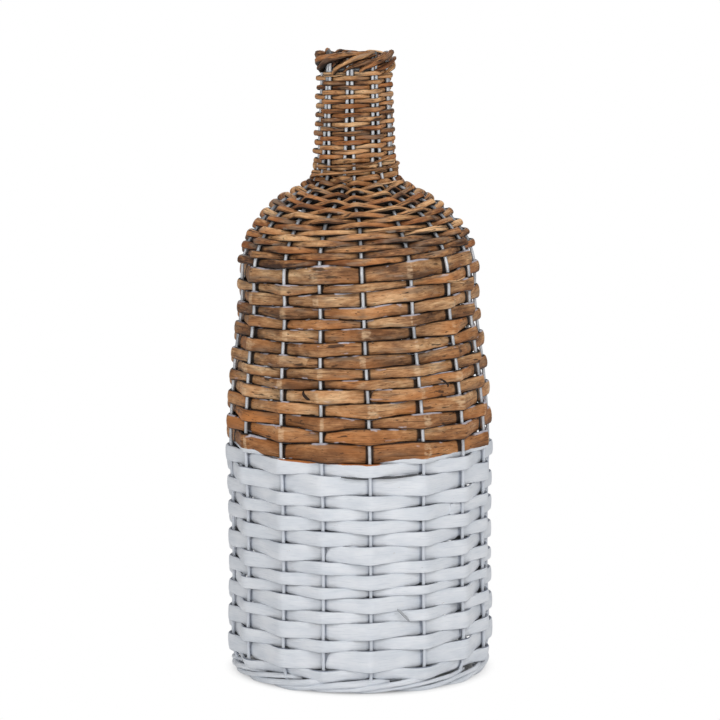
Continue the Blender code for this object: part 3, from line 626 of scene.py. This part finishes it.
def layRim(finish, hoopFinish):
    way, (strayOut, strayUp) = np.array(rimLook["way"]), rimLook["stray"]
    for number in (1, 2):
        parts = []
        for place in range(number - 1, len(rimLook["strands"]), 2):
            start, turn, thick, lowLift, highLift, cut, flare = rimLook["strands"][place]
            share = np.linspace(way[0, 0], cut, rimLook["rings"])
            radius, height = (curveThrough(way[:, 0], way[:, k], share) for k in (1, 2))
            radius = radius + strayOut * wander(share * 5, 40 + place) + flare * share ** 2
            height = height + strayUp * wander(share * 4, 60 + place) + (lowLift + (highLift - lowLift) * share)
            for part, (size, apart) in enumerate(rimLook["parts"]):
                phase = 2.1 * part + 2.4 * share + 0.8 * wander(share * 3, 120 + 5 * place + part)
                drift = apart * thick * (1 + 0.5 * wander(share * 4, 150 + 5 * place + part))
                points = around(radius + drift * np.cos(phase), np.radians(start + (turn + 2 * part) * share),
                                height + drift * np.sin(phase))
                radii = capped(points, thick * size / 2) * (1 + 0.25 * wander(share * 5, 90 + 5 * place + part))
                tone = 0.34 + 0.36 * wander(float(7 * place + 3 * part), 230)
                seed = 60 + 9 * place + 3 * part
                parts.append(rodPart(points, radii, rimLook["sides"], seed, tone, rimLook["lumps"], 0.8))
        parts += hiddenTurns(number)
        addPiece(f"rimRods{number}", parts, finish, f"rim_border_rod_{number}")
    ring = float(spotAt(lengthAt(rimHoopHeight))[0]) - wireRadius - vase["seat"] - vase["hoopWire"] / 2
    turn = np.linspace(0, 2 * math.pi, rimLook["hoopRings"])
    points = around(np.full(len(turn), ring), turn, rimHoopHeight)
    addWire("rimHoop", points, vase["hoopWire"] / 2, 5, hoopFinish, "rim_hoop")
    print("mouth twisted")


footLook = {
    "sides": 12, "lumps": 0.1, "rings": 26, "turn": 2.7, "thick": 0.0047, "stray": (0.0006, 0.0009),
    # share of a strand's way, distance from the stake line and height
    "way": ((-0.06, -0.005, 0.0034), (0, -0.0034, 0.0026), (0.1, 0.0006, 0.0024), (0.2, 0.0032, 0.0028),
            (0.4, 0.0042, 0.005), (0.6, 0.0042, 0.008), (0.8, 0.0034, 0.0108), (0.92, 0, 0.012),
            (1.06, -0.0042, 0.0116)),
}


def layFoot(finish):
    stakes = np.radians(np.array(vase["stakes"] + tuple(a + 360 for a in vase["stakes"][:6])))
    way, sides, (strayOut, strayUp) = np.array(footLook["way"]), footLook["sides"], footLook["stray"]
    share = np.linspace(way[0, 0], way[-1, 0], footLook["rings"])
    height = curveThrough(way[:, 0], way[:, 2], share)
    for number in (1, 2):
        parts = []
        for stake in range(number - 1, stakeCount, 2):
            place = stake + 0.5 + footLook["turn"] * share
            angle = np.interp(place, np.arange(len(stakes)), stakes)
            radius = spotAt(lengthAt(height))[0] + curveThrough(way[:, 0], way[:, 1], share)
            points = around(radius + strayOut * wander(place, 31 + stake, 0.6), angle,
                            height + strayUp * wander(place, 52 + stake, 0.7))
            radii = capped(points, footLook["thick"] / 2)
            radii *= (1 + 0.2 * wander(place, 33 + stake, 0.8)) * (1 + 0.22 * wander(float(stake), 71))
            ring, strand = rodRings(points, radii, sides, 80 + stake, footLook["lumps"])
            ring[:, 2] = np.maximum(ring[:, 2], 0.0)
            extra = rodAttributes(ring, strand, sides, 0.5)  # after the ring is cut off at the ground
            extra["wear"][:, 1] = np.maximum(extra["wear"][:, 1], 0.3)  # the painted shade on the undersides is kept light
            parts.append((ring, skin(len(points), sides), extra))
        addPiece(f"footRods{number}", parts, finish, f"foot_border_rod_{number}")
    print("foot rolled")


paintEdge = {
    "climb": 0.00232, "lean": 0.0264, "waver": 0.003, "seam": 2.66,  # where the spiral steps at the back
    # from one angle to another: bare along the front, a white edge to the right of it and a blob on the left
    "shifts": (((-0.66, -0.5), (0.26, 0.1), -0.002), ((0.12, 0.36), (1.6, 1.2), 0.0032),
               ((-0.8, -0.92), (-1.6, -1.3), 0.0042)),
}


class Sock:  # an output socket: sums on it add Math nodes to its material
    def __init__(self, sheet, plug):
        self.sheet, self.plug = sheet, plug

    def sum(self, operation, first, second=0.0):
        return self.sheet.node("ShaderNodeMath", {"operation": operation}, {0: first, 1: second})

    def __add__(self, other):
        return self.sum("ADD", self, other)

    def __sub__(self, other):
        return self.sum("SUBTRACT", self, other)

    def __rsub__(self, other):
        return self.sum("SUBTRACT", other, self)

    def __mul__(self, other):
        return self.sum("MULTIPLY", self, other)

    def __pow__(self, other):
        return self.sum("POWER", self, other)

    def __rpow__(self, other):
        return self.sum("POWER", other, self)

    __radd__, __rmul__ = __add__, __mul__

    def size(self):
        return self.sum("ABSOLUTE", self)

    def rise(self, low, high):  # 0 below low, 1 above high, smooth between
        return self.sheet.node("ShaderNodeMapRange", {"interpolation_type": "SMOOTHSTEP"},
                               {"Value": self, "From Min": low, "From Max": high})

    def other(self, name):
        return Sock(self.sheet, self.plug.node.outputs[name])


class Sheet:  # a new material, or a world, and its nodes
    def __init__(self, name, store=bpy.data.materials):
        self.block = store.new(name)
        self.block.use_nodes = True
        self.tree = self.block.node_tree
        self.tree.nodes.clear()

    def node(self, kind, settings, inputs, out=0):
        made = self.tree.nodes.new(kind)
        for key, value in settings.items():
            if key == "stops":
                while len(made.color_ramp.elements) < len(value):
                    made.color_ramp.elements.new(0.5)
                for element, (place, color) in zip(made.color_ramp.elements, value):
                    element.position, element.color = place, color
            else:
                setattr(made, key, value)
        for key, value in inputs.items():
            if isinstance(value, Sock):
                self.tree.links.new(value.plug, made.inputs[key])
            else:
                made.inputs[key].default_value = value
        return Sock(self, made.outputs[out]) if len(made.outputs) else made

    def attribute(self, name):
        settings = {"attribute_type": "GEOMETRY", "attribute_name": name}
        spot = self.node("ShaderNodeAttribute", settings, {}, "Vector")
        parts = self.node("ShaderNodeSeparateXYZ", {}, {0: spot})
        return parts, parts.other("Y"), parts.other("Z")

    def blend(self, share, first, second):
        return self.node("ShaderNodeMix", {"data_type": "RGBA"}, {0: share, 6: first, 7: second}, 2)

    def noise(self, x, y, z, detail=2.0, roughness=0.5):
        spot = self.node("ShaderNodeCombineXYZ", {}, {0: x, 1: y, 2: z})
        return self.node("ShaderNodeTexNoise", {}, {"Vector": spot, "Scale": 1.0, "Detail": detail,
                                                    "Roughness": roughness})

    def noises(self, lines, table):  # one for each row of a table like willowNoise
        along, across, seed = lines
        return (self.noise(along * row[0], across * row[1], seed * row[2] + row[3], *row[4:]) for row in table)

    def position(self):
        spot = self.node("ShaderNodeNewGeometry", {}, {}, "Position")
        x = self.node("ShaderNodeSeparateXYZ", {}, {0: spot})
        return spot, x, x.other("Y"), x.other("Z")

    def paintLine(self):  # how far a point lies below the hand-painted line, and its height
        x, y, z = self.position()[1:]
        angle = self.node("ShaderNodeMath", {"operation": "ARCTAN2"}, {0: x, 1: y * -1})
        angle = angle - angle.sum("GREATER_THAN", angle, paintEdge["seam"]) * (2 * math.pi)
        line = angle * paintEdge["climb"] - x * paintEdge["lean"] + vase["paintHeight"]
        for first, second, lift in paintEdge["shifts"]:
            line = line + angle.rise(*first) * angle.rise(*second) * lift
        line = line + (self.noise(angle * 9, z * 40, 3.0, 3) - 0.5) * paintEdge["waver"]
        return line - z, z

    def finish(self, height, strength, distance, inputs):
        settings = {"Strength": strength, "Distance": distance, "Height": height}
        inputs["Normal"] = self.node("ShaderNodeBump", {}, settings)
        shader = self.node("ShaderNodeBsdfPrincipled", {}, inputs)
        self.node("ShaderNodeOutputMaterial", {}, {"Surface": shader})
        return self.block


def tint(red, green, blue):  # a colour as it is seen on a screen, from 0 to 255
    shares = [value / 255 for value in (red, green, blue)]
    return (*[s / 12.92 if s <= 0.04045 else ((s + 0.055) / 1.055) ** 2.4 for s in shares], 1.0)


paintColor = tint(230, 234, 240)

# the ramp runs from dark to pale wood; dive is the painted shade where a weaver goes behind a stake, and shade
# is painted shade on its inner face, or on a rod's sides turned down or inwards
willowLook = {
    "ramp": ((0.0, tint(88, 56, 31)), (0.3, tint(146, 102, 65)), (0.6, tint(191, 144, 99)),
             (1.0, tint(238, 200, 154))),
    "warm": tint(212, 134, 68), "grey": tint(146, 122, 98), "dark": tint(26, 14, 7),
    "pale": tint(234, 200, 160), "edge": tint(214, 211, 222), "dive": (0.895, 0.95),
    "shade": (0.72, 0.32), "kink": 1.0, "crack": 0.45,
}
rodLook = {
    "ramp": ((0.0, tint(66, 38, 20)), (0.32, tint(138, 94, 58)), (0.6, tint(199, 146, 96)),
             (1.0, tint(247, 200, 148))),
    "warm": tint(196, 116, 54), "grey": tint(160, 137, 115), "dark": tint(18, 10, 5),
    "pale": tint(222, 180, 128), "edge": tint(166, 152, 138), "dive": (0.78, 0.97),
    "shade": (0.84, 0.4), "kink": 0.3, "crack": 0.9,
}
# scale along and across, the seed's scale and shift, detail and roughness of
# broad, mottle, grain, fleck, warm, grey, crack, scar and smear
willowNoise = ((26, 80, 3.1, 0, 3, 0.5), (120, 330, 5.3, 0, 4, 0.6), (70, 1900, 7.7, 0, 3, 0.6),
               (190, 700, 2.3, 0, 1, 0.5), (11, 40, 1.3, 4, 2, 0.5), (40, 170, 1.7, 9, 3, 0.5),
               (16, 620, 4.9, 2, 2, 0.5), (34, 150, 6.1, 0, 3, 0.5), (60, 210, 2.9, 0, 4, 0.5))
# the same of broad, grain, blob and bare
paintNoise = ((30, 90, 3.1, 0, 3, 0.5), (55, 1300, 7.7, 0, 3, 0.6), (75, 160, 1.9, 0, 2, 0.5),
              (120, 280, 4.1, 0, 4, 0.65))


def windingLines(sheet):  # lines along and across for the floor's strip, which has none of its own
    x, y = sheet.position()[1:3]
    angle = sheet.node("ShaderNodeMath", {"operation": "ARCTAN2"}, {0: x, 1: y})
    return angle * 0.07, (x * x + y * y) ** 0.5


def willowFinish(name, look, winding=False):
    sheet = Sheet(name)
    if winding:
        along, across = windingLines(sheet)
        seed, kink, edge, tone, side, depth = (across * 0.0 + v for v in (0.0, 0.0, 0.0, 0.45, 0.0, 1.0))
    else:
        along, across, seed = sheet.attribute("strand")
        kink, edge, tone = sheet.attribute("marks")
        side, depth = sheet.attribute("wear")[:2]
    below, z = sheet.paintLine()
    low = z.rise(0.31, 0.25)  # the strips nearest the paint are the most orange
    lines = (along, across, seed)
    broad, mottle, grain, fleck, warm, grey, crack, scar, smear = sheet.noises(lines, willowNoise)
    level = tone + (broad - 0.5) * 1.5 + (mottle - 0.5) * 1.1 + (grain - 0.5) * 0.9
    # painted light and shade: a strip is lighter a little above its middle and darker towards its lower edge
    level = level + edge * 0.1 - edge * edge * 0.12
    color = sheet.node("ShaderNodeValToRGB", {"stops": look["ramp"]}, {"Fac": level})
    color = sheet.blend(warm.rise(0.42, 0.7) * 0.55 + low * 0.2, color, look["warm"])
    color = sheet.blend(grey.rise(0.5, 0.72) * (0.6 - low * 0.35), color, look["grey"])
    fleck, crack, scar = fleck.rise(0.67, 0.74), crack.rise(0.6, 0.7), scar.rise(0.655, 0.7)
    for share in (fleck * 0.75, grain.rise(0.44, 0.28) * 0.5, crack * look["crack"], scar * 0.8):
        color = sheet.blend(share, color, look["dark"])
    # a pale fan on each bend over a stake, partly bruised pale fibres and partly painted highlight; painted
    # shade where the kink is below zero
    patch = mottle.rise(0.34, 0.62) * (1 - edge.size() ** 2) * look["kink"]
    fan = kink.rise(0.02, 0.2) * (kink + mottle * 0.8 - 0.4).rise(0.15, 0.7)
    color = sheet.blend(fan * patch * 0.62, color, look["pale"])
    # painted shade: dark lines along the edges, darker where a weaver crosses outside a stake over its
    # neighbours
    rims = edge.size().rise(0.8, 0.96) * (0.42 + mottle * 0.5 + side.rise(0.0, 0.9) * 0.35)
    # painted shade below zero at the kinks, along the edges, where a weaver goes behind a stake and on its
    # inner face
    for share in (kink.rise(-0.05, -0.5) * patch * 0.6, rims, (side * -1).rise(*look["dive"]) * 0.95,
                  depth.rise(*look["shade"]) * 0.95):
        color = sheet.blend(share, color, look["dark"])
    # pale upper edges as painted highlight where light catches them, and real paint smears
    edgeSheen = sheet.noise(along * 42, seed * 0.7, seed, 2).rise(0.5, 0.58)
    smear = smear.rise(0.64, 0.7) * edge.size().rise(0.3, 0.8) * 0.6
    color = sheet.blend((edge + mottle * 0.16).rise(0.84, 0.96) * edgeSheen * 0.75 + smear, color, look["edge"])
    color = sheet.blend(below.rise(-0.0002, 0.0003), color, paintColor)
    height = grain * 0.6 + mottle * 1.1 + broad * 1.5 - fleck * 0.4 - crack * 0.9 - scar * 0.8
    inputs = {"Base Color": color, "Roughness": 0.48 + mottle * 0.3, "Specular IOR Level": 0.4}
    return sheet.finish(height, 0.8, 0.0005, inputs)


def paintFinish(name):
    sheet = Sheet(name)
    lines = sheet.attribute("strand")
    edge, tone = sheet.attribute("marks")[1:]
    side, depth = sheet.attribute("wear")[:2]
    below = sheet.paintLine()[0]
    broad, grain, blob, bare = sheet.noises(lines, paintNoise)
    dive = side * -1
    # painted shade: blue-grey lines along the edges where a strip lies over its neighbours
    rims = edge.size().rise(0.91, 0.98) * side.rise(0.25, 0.8) * (0.35 + blob)
    color = sheet.blend(broad.rise(0.3, 0.7), tint(222, 227, 234), tint(236, 239, 244))
    for share, shade in (
            (grain.rise(0.48, 0.32) * 0.4, tint(196, 204, 215)),
            (bare.rise(0.72, 0.74) * 0.5, tint(172, 152, 134)),  # wood through the paint
            # painted shade: blue-grey beside a stake where a strip goes behind it, and a darker line close
            # against the stake
            (dive.rise(0.86, 0.96) * 0.2, tint(140, 152, 172)),
            (dive.rise(0.94, 0.962) * blob * 0.9, tint(100, 112, 134)),
            (rims, tint(98, 108, 128)),
            (below.rise(-0.0002, -0.0006), tint(186, 112, 56)),  # bare above the painted line
            # painted shade on the inner faces, which darkens the gaps
            (depth.rise(0.26, 0.04) * 0.7, tint(76, 74, 76)),
            (tone.rise(-3, -4) * 0.9, tint(26, 26, 30))):  # painted shade: dark twigs in shaded grooves and gaps
        color = sheet.blend(share, color, shade)
    height = grain * 0.8 + broad * 0.8 + blob * 2.2
    inputs = {"Base Color": color, "Roughness": 0.42 + grain * 0.2, "Specular IOR Level": 0.4}
    return sheet.finish(height, 0.55, 0.0006, inputs)


def wireFinish(name, shadeShare=0.0):
    sheet = Sheet(name)
    spot = sheet.position()[0]
    below, z = sheet.paintLine()
    spangle, patch = (sheet.node("ShaderNodeTexNoise", {}, {"Vector": spot, "Scale": scale, "Detail": 3.0})
                      for scale in (420.0, 60.0))
    metal = sheet.blend(spangle, tint(206, 209, 215), tint(246, 247, 249))
    for share, shade in ((z.rise(0.4, 0.38) * 0.22, tint(118, 122, 128)),
                         (z.rise(0.4, 0.425) * z.rise(0.49, 0.46) * 0.6, tint(118, 122, 128)),  # the shoulder
                         (patch.rise(0.48, 0.7) * 0.5, tint(112, 116, 122)),
                         ((z - 0.585).rise(0.0, 0.008) * 0.8 + shadeShare, tint(52, 50, 48))):  # painted shade on the bends at the top, and on all of a wire given a shade share
        metal = sheet.blend(share, metal, shade)
    painted = (below + 0.001).rise(-0.0012, 0.0012)
    color = sheet.blend(painted, metal, tint(216, 221, 229))
    inputs = {"Base Color": color, "Metallic": 0.45 - painted * 0.45, "Roughness": 0.34 + spangle * 0.2}
    return sheet.finish(spangle, 0.3, 0.0002, inputs)


finishes = {
    "split_willow": willowFinish("splitWillow", willowLook),
    "rod_willow": willowFinish("rodWillow", rodLook),
    "white_painted_willow": paintFinish("whitePaint"),
    "galvanised_wire": wireFinish("zincWire"),
}
print("finishes mixed")

layWeaving(finishes)
layStakes(finishes["galvanised_wire"])
# the rim hoop's wire is darkened all over as painted shade
layRim(finishes["rod_willow"], wireFinish("shadedWire", 0.75))
layFoot(finishes["white_painted_willow"])
# the floor's nodes are carried over with new materials
floorFinishes = {"floor_hoop": finishes["galvanised_wire"], "floor_star": finishes["galvanised_wire"],
                 "floor_strip": willowFinish("floorWillow", willowLook, True)}
for nodeName, finish in floorFinishes.items():
    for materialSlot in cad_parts[nodeName].material_slots:
        materialSlot.material = finish
print("floor dressed")

stage = {
    "floorReach": 3.0, "shadowReach": (0.104, 0.134), "nearFloor": 0.86, "bounceFloor": 0.96,
    "world": 0.315, "lampTarget": (0.0, 0.0, 0.3),
    # name, place, size and power
    "lamps": (("keyLamp", (1.0, -1.9, 1.7), 1.2, 17.6), ("fillLamp", (-1.6, -1.7, 1.0), 1.4, 7.8),
              ("topLamp", (0.1, 0.2, 2.2), 1.2, 10.0), ("frontLamp", (0.2, -2.6, 0.5), 1.0, 8.6),
              ("backLamp", (-0.3, 2.4, 1.4), 1.4, 13.0)),
    "distance": 3.18, "tilt": 8.4, "target": (0.0, 0.0, 0.3005), "lens": 165.0,
}
pureWhite = (1.0, 1.0, 1.0, 1.0)


def paleStage():
    sheet = Sheet("paleFloor")
    seen = sheet.node("ShaderNodeLightPath", {}, {}, "Is Camera Ray")
    x, y = sheet.position()[1:3]
    away = ((x * x + y * y) ** 0.5).rise(*stage["shadowReach"])  # white past the vase's own shadow
    plain, bounce = (sheet.node("ShaderNodeBsdfDiffuse", {}, {"Color": (*[stage[key]] * 3, 1.0)})
                     for key in ("nearFloor", "bounceFloor"))
    white = sheet.node("ShaderNodeEmission", {}, {"Color": pureWhite, "Strength": 1.0})
    shown = sheet.node("ShaderNodeMixShader", {}, {0: away, 1: plain, 2: white})
    surface = sheet.node("ShaderNodeMixShader", {}, {0: seen, 1: bounce, 2: shown})
    sheet.node("ShaderNodeOutputMaterial", {}, {"Surface": surface})
    reach = stage["floorReach"]
    corners = [(-reach, -reach, 0), (reach, -reach, 0), (reach, reach, 0), (-reach, reach, 0)]
    mesh = bpy.data.meshes.new("floor")
    mesh.from_pydata(corners, [], [(0, 1, 2, 3)])
    mesh.materials.append(sheet.block)
    floor = addObject("floor", mesh)


def light():
    sheet = Sheet("studio", bpy.data.worlds)
    bpy.context.scene.world = sheet.block
    seen = sheet.node("ShaderNodeLightPath", {}, {}, "Is Camera Ray")
    plain, white = (sheet.node("ShaderNodeBackground", {}, {"Color": pureWhite, "Strength": strength})
                    for strength in (stage["world"], 1.0))
    mixed = sheet.node("ShaderNodeMixShader", {}, {0: seen, 1: plain, 2: white})
    sheet.node("ShaderNodeOutputWorld", {}, {"Surface": mixed})
    for name, spot, size, power in stage["lamps"]:
        lamp = bpy.data.lights.new(name, "AREA")
        lamp.size, lamp.energy = size, power
        item = addObject(name, lamp)
        item.location = spot
        away = item.location - Vector(stage["lampTarget"])
        item.rotation_euler = away.to_track_quat("Z", "Y").to_euler()


def placeCamera():
    tilt = math.radians(stage["tilt"])
    data = bpy.data.cameras.new("camera")
    data.lens = stage["lens"]
    item = addObject("camera", data)
    x, y, z = stage["target"]
    item.location = (x, y - stage["distance"] * math.cos(tilt), z + stage["distance"] * math.sin(tilt))
    item.rotation_euler = (math.pi / 2 - tilt, 0.0, 0.0)
    bpy.context.scene.camera = item


paleStage()
light()
placeCamera()
bpy.context.scene.view_settings.view_transform = "Standard"
print("stage set")
